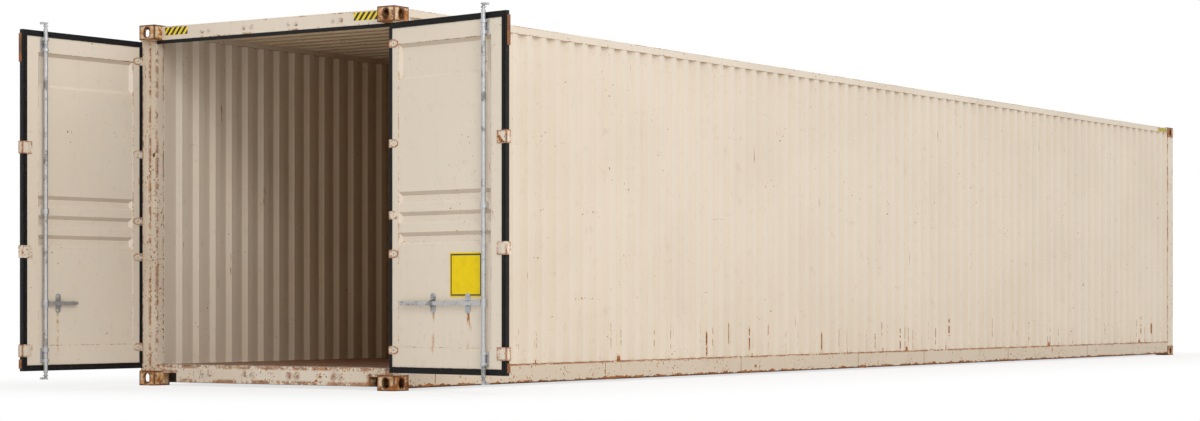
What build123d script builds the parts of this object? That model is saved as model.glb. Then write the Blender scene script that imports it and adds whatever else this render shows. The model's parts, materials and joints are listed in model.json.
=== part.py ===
"""A high-cube shipping container with its two cargo doors standing open.

Millimetres, +Z up. The origin lies at ground level in the middle of the base, halfway
between the four bottom corner castings. The cargo doors are at the -Y end.
"""
from build123d import *
import os

# Outer size of the box, over its corner castings
LENGTH = 16154.0
WIDTH = 2591.0
HEIGHT = 2896.0

# Corner castings
CASTING_LENGTH = 178.0
CASTING_WIDTH = 162.0
CASTING_HEIGHT = 118.0
CASTING_WALL = 17.0
CASTING_PLATE = 28.0
END_HOLE_WIDTH = 54.0
SIDE_HOLE_WIDTH = 63.5
WALL_HOLE_HEIGHT = 80.0
PLATE_HOLE_LENGTH = 124.5
PLATE_HOLE_WIDTH = 63.5

# Door end: how far the header, sill and post faces stand behind the front of the castings
RECESS = 94.0
POST_WIDTH = 96.0
POST_WALL = 6.0
POST_LEG = 18.0
POST_CHAMFER = 6.0
POST_INSET = 6.0

# Header and sill of the door frame
HEADER_DEPTH = 60.0
HEADER_WALL = 4.0
SEAL_HEIGHT = 28.0
SEAL_DEPTH = 14.0
SILL_BOTTOM = 30.0
SILL_WALL = 6.0
NOTCH_WIDTH = 150.0
NOTCH_HEIGHT = 72.0
THRESHOLD_WIDTH = 46.0
THRESHOLD_THICK = 4.0

# Keeper bosses in pairs on the header and sill
BOSS_RADIUS = 13.0
BOSS_REACH = 12.0
BOSS_SPACING = 76.0
OUTER_KEEPER_X = 670.0

# Side, roof and end members
FLOOR_TOP = 168.0
FLOOR_THICK = 28.0
RAIL_INSET = 8.0
TOP_RAIL = 60.0
TOP_RAIL_WALL = 3.0
ROOF_DROP = 10.0
SHEET = 2.0
BASE_LIFT = 17.0
BOTTOM_RAIL_WALL = 4.5
BOTTOM_RAIL_TOP_FLANGE = 48.0
BOTTOM_RAIL_FOOT_FLANGE = 30.0
END_POST_INSET = 3.0
END_RAIL_INSET = 10.0
ROOF_MARGIN = 4.0
FIT_GAP = 1.0

# Corrugated sheets
WALL_PITCH = 203.0
WALL_RIB_DEPTH = 36.0
WALL_SLOPE = 34.0
WALL_INSET = 12.0
END_PITCH = 250.0
END_RIB_DEPTH = 44.0
END_SLOPE = 46.0
ROOF_PITCH = 209.0
ROOF_RIB_DEPTH = 20.0
ROOF_SLOPE = 14.0

# Cross members under the floor
CROSS_PITCH = 305.0
CROSS_FLANGE = 45.0
CROSS_WALL = 4.0

# Door leaves
LEAF_THICK = 32.0
LEAF_SETBACK = 12.0
LEAF_END_GAP = 22.0
LEAF_MEETING = 16.0
GASKET_BAND = 45.0
GASKET_PROUD = 5.0
GASKET_BASE = 4.0
GASKET_RIBS = 3
HINGE_GASKET = 30.0
HINGE_GASKET_PROUD = 6.0
HINGE_STILE = 96.0
FREE_STILE = 115.0
TOP_MEMBER = 120.0
BOTTOM_MEMBER = 150.0
PANEL_THICK = 3.0
PANEL_SETBACK = 6.0
GROOVES = 3
GROOVE_HEIGHT = 96.0
GROOVE_PITCH = 152.0
GROOVE_DEPTH = 20.0
GROOVE_SLOPE = 28.0
GROOVE_MIDDLE = 1290.0
TOP_GROOVE_HEIGHT = 268.0
LEFT_DOOR_OPEN = 93.0
RIGHT_DOOR_OPEN = 170.0

# Hinges: the pin stands in front of the post's outer leg
PIN_INSET = 12.0
PIN_FORWARD = 6.0
PIN_RADIUS = 8.0
PIN_CLEARANCE = 1.0
KNUCKLE_RADIUS = 11.0
KNUCKLE_HEIGHT = 60.0
EAR_THICK = 20.0
EAR_GAP = 2.0
LEAF_EDGE_GAP = 24.0
BLADE_REACH = 96.0
BLADE_THICK = 5.0
BLADE_BACK_THICK = 6.0
NECK_HALF = 4.0
NECK_BEND = 12.0
HINGE_HEIGHTS = (0.065, 0.34, 0.45, 0.655, 0.94)

# Clips over the free edge of each leaf
CLIP_HEIGHT = 96.0
CLIP_THICK = 4.0
CLIP_EDGE_GAP = 4.0
CLIP_REACH = 96.0
CLIP_FOOT = 24.0
CLIP_HEIGHTS = (0.06, 0.35, 0.655)

# Lock rods, one on each leaf
ROD_RADIUS = 17.0
ROD_STANDOFF = 7.0
ROD_X = 228.0
ROD_REACH = 66.0
ROD_CLEARANCE = 1.5
ROD_NECK_RADIUS = 12.0
CAM_RADIUS = 19.0
CAM_HEIGHT = 34.0
CAM_PLATE = 9.0
CAM_ARM = 44.0
CAM_ARM_THICK = 16.0
CAM_ARM_HEIGHT = 17.0
CAM_HOOK = 9.0
COLLAR_RADIUS = 21.0
COLLAR_HEIGHT = 12.0
COLLAR_HEIGHTS = (2450.0, 1180.0, 1090.0)
BRACKET_WIDTH = 74.0
BRACKET_HEIGHT = 108.0
BRACKET_PLATE = 6.0
SADDLE_WALL = 7.0
SADDLE_HEIGHT = 26.0
GUIDE_Z = 1366.0
GUIDE_HEIGHT = 40.0

# Handles and the hasps that hold them
HANDLE_Z = 660.0
HANDLE_TALL = 30.0
HANDLE_THICK = 10.0
HUB_RADIUS = 24.0
HUB_HEIGHT = 56.0
LEFT_HANDLE = 330.0
RIGHT_HANDLE = 900.0
LEFT_HASPS = (150.0,)
RIGHT_HASPS = (190.0, 560.0)
HASP_HEIGHT = 150.0
HASP_WIDTH = 52.0
HASP_PLATE = 5.0
HASP_LIP = 6.0
SEAT_GAP = 0.3

# Places worked out from the sizes above
DOOR_Y = -LENGTH / 2
END_Y = LENGTH / 2
SIDE_X = WIDTH / 2
FRAME_Y = DOOR_Y + RECESS
POST_BACK_Y = DOOR_Y + CASTING_LENGTH
POST_INNER_X = SIDE_X - POST_INSET - POST_WIDTH
CASTING_INNER_X = SIDE_X - CASTING_WIDTH
HEADER_BOTTOM = HEIGHT - CASTING_HEIGHT
ROOF_TOP = HEIGHT - ROOF_DROP
RAIL_TOP = ROOF_TOP - SHEET
WALL_BOTTOM = FLOOR_TOP - FIT_GAP
END_POST_BACK_Y = END_Y - CASTING_LENGTH

PIN_X = SIDE_X - PIN_INSET
PIN_Y = DOOR_Y - PIN_FORWARD
LEAF_OUTER_Y = DOOR_Y + LEAF_SETBACK
LEAF_INNER_Y = LEAF_OUTER_Y + LEAF_THICK
LEAF_HINGE_X = PIN_X - LEAF_EDGE_GAP
LEAF_BOTTOM = CASTING_HEIGHT + LEAF_END_GAP
LEAF_TOP = HEIGHT - CASTING_HEIGHT - LEAF_END_GAP
LEAF_HEIGHT = LEAF_TOP - LEAF_BOTTOM
STEEL_FREE_X = LEAF_MEETING + GASKET_BAND
STEEL_BOTTOM = LEAF_BOTTOM + GASKET_BAND
STEEL_TOP = LEAF_TOP - GASKET_BAND
PANEL_X0 = STEEL_FREE_X + FREE_STILE
PANEL_X1 = LEAF_HINGE_X - HINGE_STILE
PANEL_Z0 = STEEL_BOTTOM + BOTTOM_MEMBER
PANEL_Z1 = STEEL_TOP - TOP_MEMBER
PANEL_FACE_Y = LEAF_INNER_Y - PANEL_SETBACK
ROD_Y = LEAF_INNER_Y + ROD_STANDOFF + ROD_RADIUS


def block(x0, x1, y0, y1, z0, z1):
    """A box between two corners."""
    return Pos((x0 + x1) / 2, (y0 + y1) / 2, (z0 + z1) / 2) * Box(x1 - x0, y1 - y0, z1 - z0)


def post(x, y, z0, z1, radius):
    """A round bar standing on z0."""
    return Pos(x, y, (z0 + z1) / 2) * Cylinder(radius, z1 - z0)


def upright(points, z0, z1):
    """A plan outline of (x, y) points raised from z0 to z1."""
    face = make_face(Polyline(*[(x, y, z0) for x, y in points], close=True))
    return extrude(face, amount=z1 - z0, dir=(0, 0, 1))


def across(points, x0, x1):
    """An outline of (y, z) points drawn along X."""
    face = make_face(Polyline(*[(x0, y, z) for y, z in points], close=True))
    return extrude(face, amount=x1 - x0, dir=(1, 0, 0))


def along(points, y0, y1):
    """An outline of (x, z) points drawn along Y."""
    face = make_face(Polyline(*[(x, y0, z) for x, z in points], close=True))
    return extrude(face, amount=y1 - y0, dir=(0, 1, 0))


def wave(start, end, pitch, slope, depth, margin=0.0):
    """Points (place, depth) of a trapezoid corrugation that starts and ends on its high side."""
    run = end - start - 2 * margin
    count = max(1, round(run / pitch))
    step = run / count
    flat = step / 2 - slope
    points = [(start, 0.0)]
    for index in range(count):
        first = start + margin + index * step + flat / 2
        points += [
            (first, 0.0),
            (first + slope, depth),
            (first + slope + flat, depth),
            (first + 2 * slope + flat, 0.0),
        ]
    return points + [(end, 0.0)]


def sheet_outline(points, thickness):
    """Closes a corrugation line into the outline of a sheet of that thickness."""
    return points + [(place, depth + thickness) for place, depth in reversed(points)]


def mirrored(shape):
    """The same shape on the other side of the container."""
    return mirror(shape, about=Plane.YZ)


def casting():
    """A hollow corner casting with its plate on top, its outer corner at +X, -Y and the top.

    The cavity opens through an oval in the end wall, the side wall and the plate.
    """
    length, width, height = CASTING_LENGTH, CASTING_WIDTH, CASTING_HEIGHT
    body = block(-width, 0, 0, length, -height, 0)
    cavity = block(
        -width + CASTING_WALL, -CASTING_WALL,
        CASTING_WALL, length - CASTING_WALL,
        -height + CASTING_WALL, -CASTING_PLATE,
    )
    wall_z = -height / 2
    middle_x = -width / 2
    middle_y = length / 2
    cut = CASTING_PLATE * 2
    end_hole = extrude(
        Plane.XZ * SlotOverall(WALL_HOLE_HEIGHT, END_HOLE_WIDTH, rotation=90), amount=cut / 2, both=True
    )
    side_hole = extrude(
        Plane.YZ * SlotOverall(WALL_HOLE_HEIGHT, SIDE_HOLE_WIDTH, rotation=90), amount=cut / 2, both=True
    )
    plate_hole = extrude(
        SlotOverall(PLATE_HOLE_LENGTH, PLATE_HOLE_WIDTH, rotation=90), amount=cut, both=True
    )
    body -= cavity
    body -= Pos(middle_x, 0, wall_z) * end_hole
    body -= Pos(0, middle_y, wall_z) * side_hole
    body -= Pos(middle_x, middle_y, 0) * plate_hole
    return body


def castings():
    """The eight corner castings by name."""
    top_door = Pos(SIDE_X, DOOR_Y, HEIGHT) * casting()
    bottom_door = mirror(top_door, about=Plane.XY.offset(HEIGHT / 2))
    parts = {}
    for level, shape in (("top", top_door), ("bottom", bottom_door)):
        at_end = mirror(shape, about=Plane.XZ)
        parts[f"casting_{level}_door_right"] = shape
        parts[f"casting_{level}_door_left"] = mirrored(shape)
        parts[f"casting_{level}_end_right"] = at_end
        parts[f"casting_{level}_end_left"] = mirrored(at_end)
    return parts


def keeper_pairs(z):
    """Low round bosses in pairs, one pair each side of every lock rod's place."""
    solids = []
    for middle in (-OUTER_KEEPER_X, -ROD_X, ROD_X, OUTER_KEEPER_X):
        for side in (-1, 1):
            x = middle + side * BOSS_SPACING / 2
            boss = Pos(x, FRAME_Y - BOSS_REACH / 2, z) * Rot(90, 0, 0) * Cylinder(BOSS_RADIUS, BOSS_REACH)
            solids.append(boss)
    return solids


def door_header():
    """The box beam over the doors, with its keeper bosses."""
    y0, y1 = FRAME_Y, FRAME_Y + HEADER_DEPTH
    z0, z1 = HEADER_BOTTOM, RAIL_TOP
    wall = HEADER_WALL
    beam = block(-CASTING_INNER_X, CASTING_INNER_X, y0, y1, z0, z1)
    beam -= block(-CASTING_INNER_X, CASTING_INNER_X, y0 + wall, y1 - wall, z0 + wall, z1 - wall)
    for boss in keeper_pairs((z0 + z1) / 2 - wall):
        beam += boss
    return beam


def header_seal():
    """The rubber strip along the header's lower edge."""
    y0 = FRAME_Y + FIT_GAP
    reach = POST_INNER_X - SEAT_GAP
    return block(-reach, reach, y0, y0 + SEAL_DEPTH, HEADER_BOTTOM - SEAL_HEIGHT, HEADER_BOTTOM)


def door_sill():
    """The sill: a channel with a lined notch at each end and keeper bosses on its face.

    Its upper edge runs on over the castings as an angle, up to the posts.
    """
    y0, y1 = FRAME_Y, POST_BACK_Y
    z0, z1 = SILL_BOTTOM, FLOOR_TOP
    wall = SILL_WALL
    end_x = CASTING_INNER_X
    channel = [(y0, z0), (y1, z0), (y1, z0 + wall), (y0 + wall, z0 + wall),
               (y0 + wall, z1 - wall), (y1, z1 - wall), (y1, z1), (y0, z1)]
    sill = across(channel, -end_x, end_x)
    ledge = [(y0, CASTING_HEIGHT), (y0 + wall, CASTING_HEIGHT), (y0 + wall, z1 - wall),
             (y1, z1 - wall), (y1, z1), (y0, z1)]
    sill += across(ledge, -POST_INNER_X, -end_x)
    sill += across(ledge, end_x, POST_INNER_X)
    top = z0 + NOTCH_HEIGHT
    for side in (-1, 1):
        inner = side * (end_x - NOTCH_WIDTH)
        low, high = sorted((inner, side * end_x))
        sill -= block(low, high, y0, y1, z0, top)
        sill += block(low, high, y0, y1, top, top + wall)
        low, high = sorted((inner, inner - side * wall))
        sill += block(low, high, y0, y1, z0, top + wall)
    for boss in keeper_pairs((z0 + z1) / 2):
        sill += boss
    return sill


def threshold_plate():
    """The steel strip that covers the joint between sill and floor."""
    middle = POST_BACK_Y
    half = THRESHOLD_WIDTH / 2
    reach = POST_INNER_X - FIT_GAP
    return block(-reach, reach, middle - half, middle + half, FLOOR_TOP, FLOOR_TOP + THRESHOLD_THICK)


def hinge_places():
    """Middle height of each hinge."""
    return [LEAF_BOTTOM + share * LEAF_HEIGHT for share in HINGE_HEIGHTS]


def door_post():
    """The right door post: a box behind the door, an outer leg beside it, and the hinge ears."""
    outer = SIDE_X - POST_INSET
    leg = outer - POST_LEG
    front = DOOR_Y + POST_INSET
    outline = [
        (outer, front + POST_CHAMFER), (outer, POST_BACK_Y), (POST_INNER_X, POST_BACK_Y),
        (POST_INNER_X, FRAME_Y), (leg, FRAME_Y), (leg, front + POST_CHAMFER),
        (leg + POST_CHAMFER, front), (outer - POST_CHAMFER, front),
    ]
    z0, z1 = CASTING_HEIGHT, HEIGHT - CASTING_HEIGHT
    shape = upright(outline, z0, z1)
    shape -= block(
        POST_INNER_X + POST_WALL, outer - POST_WALL,
        FRAME_Y + POST_WALL, POST_BACK_Y - POST_WALL, z0, z1,
    )
    knuckle = KNUCKLE_HEIGHT / 2 + EAR_GAP
    ear_radius = SIDE_X - PIN_X
    for z in hinge_places():
        for low in (z - knuckle - EAR_THICK, z + knuckle):
            shape += post(PIN_X, PIN_Y, low, low + EAR_THICK, ear_radius)
            shape += block(
                PIN_X - ear_radius, outer - POST_CHAMFER, PIN_Y, front + POST_CHAMFER, low, low + EAR_THICK
            )
        shape += post(PIN_X, PIN_Y, z - knuckle - EAR_THICK, z + knuckle + EAR_THICK, PIN_RADIUS)
    return shape


def end_post():
    """The right post of the closed end, a hollow box section."""
    x0, x1 = CASTING_INNER_X, SIDE_X - END_POST_INSET
    y1 = END_Y - END_POST_INSET
    y0 = END_POST_BACK_Y
    z0, z1 = CASTING_HEIGHT, HEIGHT - CASTING_HEIGHT
    shape = block(x0, x1, y0, y1, z0, z1)
    return shape - block(x0 + POST_WALL, x1 - POST_WALL, y0 + POST_WALL, y1 - POST_WALL, z0, z1)


def end_header():
    """The tube across the top of the closed end."""
    y1 = END_Y - END_RAIL_INSET
    y0 = y1 - TOP_RAIL
    wall = TOP_RAIL_WALL
    z0 = RAIL_TOP - TOP_RAIL
    beam = block(-CASTING_INNER_X, CASTING_INNER_X, y0, y1, z0, RAIL_TOP)
    return beam - block(-CASTING_INNER_X, CASTING_INNER_X, y0 + wall, y1 - wall, z0 + wall, RAIL_TOP - wall)


def end_sill():
    """The channel across the foot of the closed end."""
    y1 = END_Y - END_RAIL_INSET
    y0 = y1 - TOP_RAIL
    wall = BOTTOM_RAIL_WALL
    z0, z1 = BASE_LIFT, WALL_BOTTOM
    channel = [(y1, z0), (y1, z1), (y0, z1), (y0, z1 - wall), (y1 - wall, z1 - wall),
               (y1 - wall, z0 + wall), (y0, z0 + wall), (y0, z0)]
    return across(channel, -CASTING_INNER_X, CASTING_INNER_X)


def top_rail():
    """The right roof rail, a square tube between two castings."""
    x1 = SIDE_X - RAIL_INSET
    x0 = x1 - TOP_RAIL
    wall = TOP_RAIL_WALL
    y0, y1 = DOOR_Y + CASTING_LENGTH, END_Y - CASTING_LENGTH
    z0 = RAIL_TOP - TOP_RAIL
    beam = block(x0, x1, y0, y1, z0, RAIL_TOP)
    return beam - block(x0 + wall, x1 - wall, y0, y1, z0 + wall, RAIL_TOP - wall)


def bottom_rail():
    """The right floor rail, a channel that opens inwards."""
    x1 = SIDE_X - RAIL_INSET
    wall = BOTTOM_RAIL_WALL
    z0, z1 = BASE_LIFT, WALL_BOTTOM
    outline = [
        (x1, z0), (x1, z1), (x1 - BOTTOM_RAIL_TOP_FLANGE, z1), (x1 - BOTTOM_RAIL_TOP_FLANGE, z1 - wall),
        (x1 - wall, z1 - wall), (x1 - wall, z0 + wall), (x1 - BOTTOM_RAIL_FOOT_FLANGE, z0 + wall),
        (x1 - BOTTOM_RAIL_FOOT_FLANGE, z0),
    ]
    return along(outline, DOOR_Y + CASTING_LENGTH, END_Y - CASTING_LENGTH)


def side_wall():
    """The right side wall of vertical corrugations."""
    line = wave(POST_BACK_Y, END_POST_BACK_Y, WALL_PITCH, WALL_SLOPE, WALL_RIB_DEPTH)
    outer = SIDE_X - WALL_INSET
    outline = [(outer - depth, place) for place, depth in sheet_outline(line, SHEET)]
    return upright(outline, WALL_BOTTOM, RAIL_TOP - TOP_RAIL)


def end_wall():
    """The corrugated wall of the closed end, between its two posts."""
    reach = CASTING_INNER_X
    line = wave(-reach, reach, END_PITCH, END_SLOPE, END_RIB_DEPTH)
    outer = END_Y - WALL_INSET
    outline = [(place, outer - depth) for place, depth in sheet_outline(line, SHEET)]
    return upright(outline, WALL_BOTTOM, RAIL_TOP - TOP_RAIL)


def roof():
    """The roof sheet between the castings: cross corrugations and a flat margin over each rail."""
    reach = SIDE_X - RAIL_INSET
    ribbed = reach - TOP_RAIL - ROOF_MARGIN
    y0, y1 = POST_BACK_Y, END_POST_BACK_Y
    line = wave(y0, y1, ROOF_PITCH, ROOF_SLOPE, ROOF_RIB_DEPTH, ROOF_MARGIN)
    outline = [(place, ROOF_TOP - depth) for place, depth in sheet_outline(line, SHEET)]
    shape = across(outline, -ribbed, ribbed)
    rib_bottom = ROOF_TOP - ROOF_RIB_DEPTH - SHEET
    for side in (-1, 1):
        low, high = sorted((side * ribbed, side * reach))
        shape += block(low, high, y0, y1, RAIL_TOP, ROOF_TOP)
        low, high = sorted((side * ribbed, side * (ribbed + SHEET)))
        shape += block(low, high, y0 + ROOF_MARGIN, y1 - ROOF_MARGIN, rib_bottom, ROOF_TOP)
    return shape


def roof_end_plates():
    """The flat plates that close the roof between the castings of each end."""
    reach = CASTING_INNER_X
    spans = ((FRAME_Y, POST_BACK_Y), (END_POST_BACK_Y, END_Y - END_RAIL_INSET))
    return Compound(children=[block(-reach, reach, y0, y1, RAIL_TOP, ROOF_TOP) for y0, y1 in spans])


def floor():
    """The plywood floor between the two floor rails."""
    reach = SIDE_X - RAIL_INSET - BOTTOM_RAIL_TOP_FLANGE - FIT_GAP
    y1 = END_Y - END_RAIL_INSET - TOP_RAIL - FIT_GAP
    z0 = FLOOR_TOP - FLOOR_THICK
    boards = block(-reach, reach, POST_BACK_Y + FIT_GAP, y1, z0, FLOOR_TOP)
    for side in (-1, 1):
        low, high = sorted((side * (CASTING_INNER_X - FIT_GAP), side * SIDE_X))
        boards -= block(low, high, END_POST_BACK_Y - FIT_GAP, END_Y, z0, FLOOR_TOP)
    return boards


def cross_members():
    """The channels that carry the floor from rail to rail."""
    reach = SIDE_X - RAIL_INSET - BOTTOM_RAIL_WALL
    z0, z1 = BASE_LIFT + BOTTOM_RAIL_WALL, FLOOR_TOP - FLOOR_THICK
    first = DOOR_Y + CASTING_LENGTH + CROSS_FLANGE
    last = END_Y - CASTING_LENGTH - 2 * CROSS_FLANGE
    count = max(2, round((last - first) / CROSS_PITCH))
    wall = CROSS_WALL
    members = []
    for index in range(count + 1):
        y = first + (last - first) * index / count
        channel = [(y, z0), (y, z1), (y + CROSS_FLANGE, z1), (y + CROSS_FLANGE, z1 - wall),
                   (y + wall, z1 - wall), (y + wall, z0 + wall), (y + CROSS_FLANGE, z0 + wall),
                   (y + CROSS_FLANGE, z0)]
        members.append(across(channel, -reach, reach))
    return Compound(children=members)


def leaf_frame():
    """The right leaf's steel frame, shut: two stiles and two cross members."""
    ring = block(STEEL_FREE_X, LEAF_HINGE_X, LEAF_OUTER_Y, LEAF_INNER_Y, STEEL_BOTTOM, STEEL_TOP)
    return ring - block(PANEL_X0, PANEL_X1, LEAF_OUTER_Y, LEAF_INNER_Y, PANEL_Z0, PANEL_Z1)


def groove(z0, z1):
    """The hollow of a level pressing between two heights, sloped on all four sides."""
    middle = Pos((PANEL_X0 + PANEL_X1) / 2, PANEL_FACE_Y, (z0 + z1) / 2)
    width, height = PANEL_X1 - PANEL_X0, z1 - z0
    mouth = Plane.XZ * Rectangle(width, height)
    bed = Plane.XZ.offset(GROOVE_DEPTH) * Rectangle(width - 2 * GROOVE_SLOPE, height - 2 * GROOVE_SLOPE)
    return middle * loft([mouth, bed])


def leaf_panel():
    """The pressed sheet inside the frame: three grooves at mid height and a wide one at the top."""
    face = PANEL_FACE_Y
    half = GROOVE_HEIGHT / 2
    first = GROOVE_MIDDLE - (GROOVES - 1) / 2 * GROOVE_PITCH
    middles = [first + index * GROOVE_PITCH for index in range(GROOVES)]
    hollows = [groove(z - half, z + half) for z in middles]
    hollows.append(groove(PANEL_Z1 - TOP_GROOVE_HEIGHT, PANEL_Z1))
    panel = block(PANEL_X0, PANEL_X1, face - PANEL_THICK, face, PANEL_Z0, PANEL_Z1)
    for hollow in hollows:
        panel += Pos(0, -PANEL_THICK, 0) * hollow
    for hollow in hollows:
        panel -= hollow
    return panel


def leaf_gasket():
    """The ribbed rubber round the leaf's outer edges, and a thin strip along its hinge edge."""
    back = LEAF_OUTER_Y + GASKET_BASE
    face = LEAF_INNER_Y + GASKET_PROUD
    shape = block(LEAF_MEETING, LEAF_HINGE_X, back, face - GASKET_BASE, LEAF_BOTTOM, LEAF_TOP)
    ribs = 2 * GASKET_RIBS - 1
    width = GASKET_BAND / ribs
    for index in range(0, ribs, 2):
        step = index * width
        rib = block(LEAF_MEETING + step, LEAF_HINGE_X, back, face, LEAF_BOTTOM + step, LEAF_TOP - step)
        step += width
        rib -= block(LEAF_MEETING + step, LEAF_HINGE_X, back, face, LEAF_BOTTOM + step, LEAF_TOP - step)
        shape += rib
    shape -= block(STEEL_FREE_X, LEAF_HINGE_X, back, face, STEEL_BOTTOM, STEEL_TOP)
    strip = block(
        LEAF_HINGE_X - HINGE_GASKET, LEAF_HINGE_X, LEAF_INNER_Y, LEAF_INNER_Y + HINGE_GASKET_PROUD,
        STEEL_BOTTOM, STEEL_TOP,
    )
    shape += strip
    half = KNUCKLE_HEIGHT / 2 + EAR_GAP
    for z in hinge_places():
        shape -= block(
            LEAF_HINGE_X - HINGE_GASKET, LEAF_HINGE_X, LEAF_INNER_Y, LEAF_INNER_Y + HINGE_GASKET_PROUD,
            z - half, z + half,
        )
    return shape


def hinge_blade(z):
    """A hinge blade: its knuckle turns on the pin, and its strap wraps the leaf's hinge edge."""
    half = KNUCKLE_HEIGHT / 2
    back = LEAF_OUTER_Y - BLADE_BACK_THICK
    edge = LEAF_HINGE_X + BLADE_THICK
    reach = LEAF_HINGE_X - BLADE_REACH
    neck = [
        (PIN_X, PIN_Y + KNUCKLE_RADIUS), (edge, back), (edge, LEAF_OUTER_Y), (LEAF_HINGE_X, LEAF_OUTER_Y),
        (LEAF_HINGE_X, back), (PIN_X - NECK_BEND, PIN_Y + NECK_HALF),
        (PIN_X - KNUCKLE_RADIUS, PIN_Y - NECK_HALF), (PIN_X, PIN_Y - NECK_HALF),
    ]
    blade = upright(neck, z - half, z + half)
    blade += post(PIN_X, PIN_Y, z - half, z + half, KNUCKLE_RADIUS)
    blade += block(reach, LEAF_HINGE_X, back, LEAF_OUTER_Y, z - half, z + half)
    blade += block(LEAF_HINGE_X, edge, LEAF_OUTER_Y, LEAF_INNER_Y + BLADE_THICK, z - half, z + half)
    plate = [
        (LEAF_HINGE_X, z - half), (LEAF_HINGE_X, z + half),
        (reach + half, z + half), (reach, z + half / 2), (reach, z - half / 2), (reach + half, z - half),
    ]
    blade += along(plate, LEAF_INNER_Y, LEAF_INNER_Y + BLADE_THICK)
    return blade - post(PIN_X, PIN_Y, z - half, z + half, PIN_RADIUS + PIN_CLEARANCE)


def hinge_blades():
    """All hinge blades of the right leaf."""
    return Compound(children=[hinge_blade(z) for z in hinge_places()])


def edge_clips():
    """The clips that hold the rubber on the leaf's free edge."""
    x0 = LEAF_MEETING - CLIP_EDGE_GAP - CLIP_THICK
    x1 = LEAF_MEETING + CLIP_REACH
    outer = LEAF_OUTER_Y - CLIP_THICK
    inner = LEAF_INNER_Y + GASKET_PROUD + SEAT_GAP
    shelf = STEEL_FREE_X + CLIP_THICK
    thick = CLIP_THICK
    outline = [
        (x1, outer), (x0, outer), (x0, inner + thick), (shelf, inner + thick),
        (x1 - CLIP_FOOT, LEAF_INNER_Y + thick), (x1, LEAF_INNER_Y + thick), (x1, LEAF_INNER_Y),
        (x1 - CLIP_FOOT - thick / 2, LEAF_INNER_Y), (shelf - thick / 2, inner), (x0 + thick, inner),
        (x0 + thick, LEAF_OUTER_Y), (x1, LEAF_OUTER_Y),
    ]
    half = CLIP_HEIGHT / 2
    heights = [LEAF_BOTTOM + share * LEAF_HEIGHT for share in CLIP_HEIGHTS]
    return Compound(children=[upright(outline, z - half, z + half) for z in heights])


def rod_bracket(z, height, seat_y):
    """A base plate with a saddle at each end that holds the rod."""
    half = BRACKET_WIDTH / 2
    shape = block(ROD_X - half, ROD_X + half, seat_y, seat_y + BRACKET_PLATE, z - height / 2, z + height / 2)
    bore = ROD_RADIUS + ROD_CLEARANCE
    side = bore + SADDLE_WALL
    for low in (z - height / 2, z + height / 2 - SADDLE_HEIGHT):
        saddle = block(ROD_X - side, ROD_X + side, seat_y, ROD_Y, low, low + SADDLE_HEIGHT)
        shape += saddle + post(ROD_X, ROD_Y, low, low + SADDLE_HEIGHT, side)
    shape -= block(ROD_X - half, ROD_X + half, seat_y - side, seat_y, z - height, z + height)
    return shape - post(ROD_X, ROD_Y, z - height, z + height, bore)


def rod_guide():
    """The single round guide at mid height."""
    bore = ROD_RADIUS + ROD_CLEARANCE
    side = bore + SADDLE_WALL
    low, high = GUIDE_Z - GUIDE_HEIGHT / 2, GUIDE_Z + GUIDE_HEIGHT / 2
    shape = post(ROD_X, ROD_Y, low, high, side)
    shape += block(ROD_X - side, ROD_X + side, PANEL_FACE_Y, ROD_Y, low, high)
    return shape - post(ROD_X, ROD_Y, low, high, bore)


def hasp(x):
    """An oval plate with a cradle that the handle lies in."""
    plate = extrude(
        Plane.XZ * SlotOverall(HASP_HEIGHT, HASP_WIDTH, rotation=90), amount=HASP_PLATE / 2, both=True
    )
    face = PANEL_FACE_Y + HASP_PLATE
    shape = Pos(x, PANEL_FACE_Y + HASP_PLATE / 2, HANDLE_Z) * plate
    bar_back = ROD_Y - HANDLE_THICK / 2
    bar_front = ROD_Y + HANDLE_THICK / 2
    half = HANDLE_TALL / 2 + 2 * FIT_GAP
    reach = HASP_WIDTH / 4
    shape += block(x - reach, x + reach, face, bar_back - SEAT_GAP, HANDLE_Z - half, HANDLE_Z + half)
    for low in (HANDLE_Z - half - HASP_LIP, HANDLE_Z + half):
        shape += block(x - reach, x + reach, face, bar_front, low, low + HASP_LIP)
    return shape


def lock_fittings(hasp_places):
    """Rod brackets, the guide and the handle's hasps of one leaf."""
    middle = STEEL_TOP - TOP_MEMBER / 2
    solids = [
        rod_bracket(middle, BRACKET_HEIGHT, LEAF_INNER_Y),
        rod_bracket(STEEL_BOTTOM + BOTTOM_MEMBER / 2, BRACKET_HEIGHT, LEAF_INNER_Y),
        rod_guide(),
    ]
    solids += [hasp(ROD_X + place) for place in hasp_places]
    return Compound(children=solids)


def rod_end(z0, arm_z0):
    """A cam on a slimmer neck: two plates, and a hooked arm that starts at arm_z0."""
    z1 = z0 + CAM_HEIGHT
    head = post(ROD_X, ROD_Y, z0, z1, ROD_NECK_RADIUS)
    for low in (z0, z1 - CAM_PLATE):
        head += post(ROD_X, ROD_Y, low, low + CAM_PLATE, CAM_RADIUS)
    half = CAM_ARM_THICK / 2
    arm_z1 = arm_z0 + CAM_ARM_HEIGHT
    tip = ROD_X - CAM_ARM
    head += block(tip, ROD_X, ROD_Y - half, ROD_Y + half, arm_z0, arm_z1)
    return head + block(tip, tip + CAM_HOOK, ROD_Y - half - CAM_HOOK, ROD_Y + half, arm_z0, arm_z1)


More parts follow.
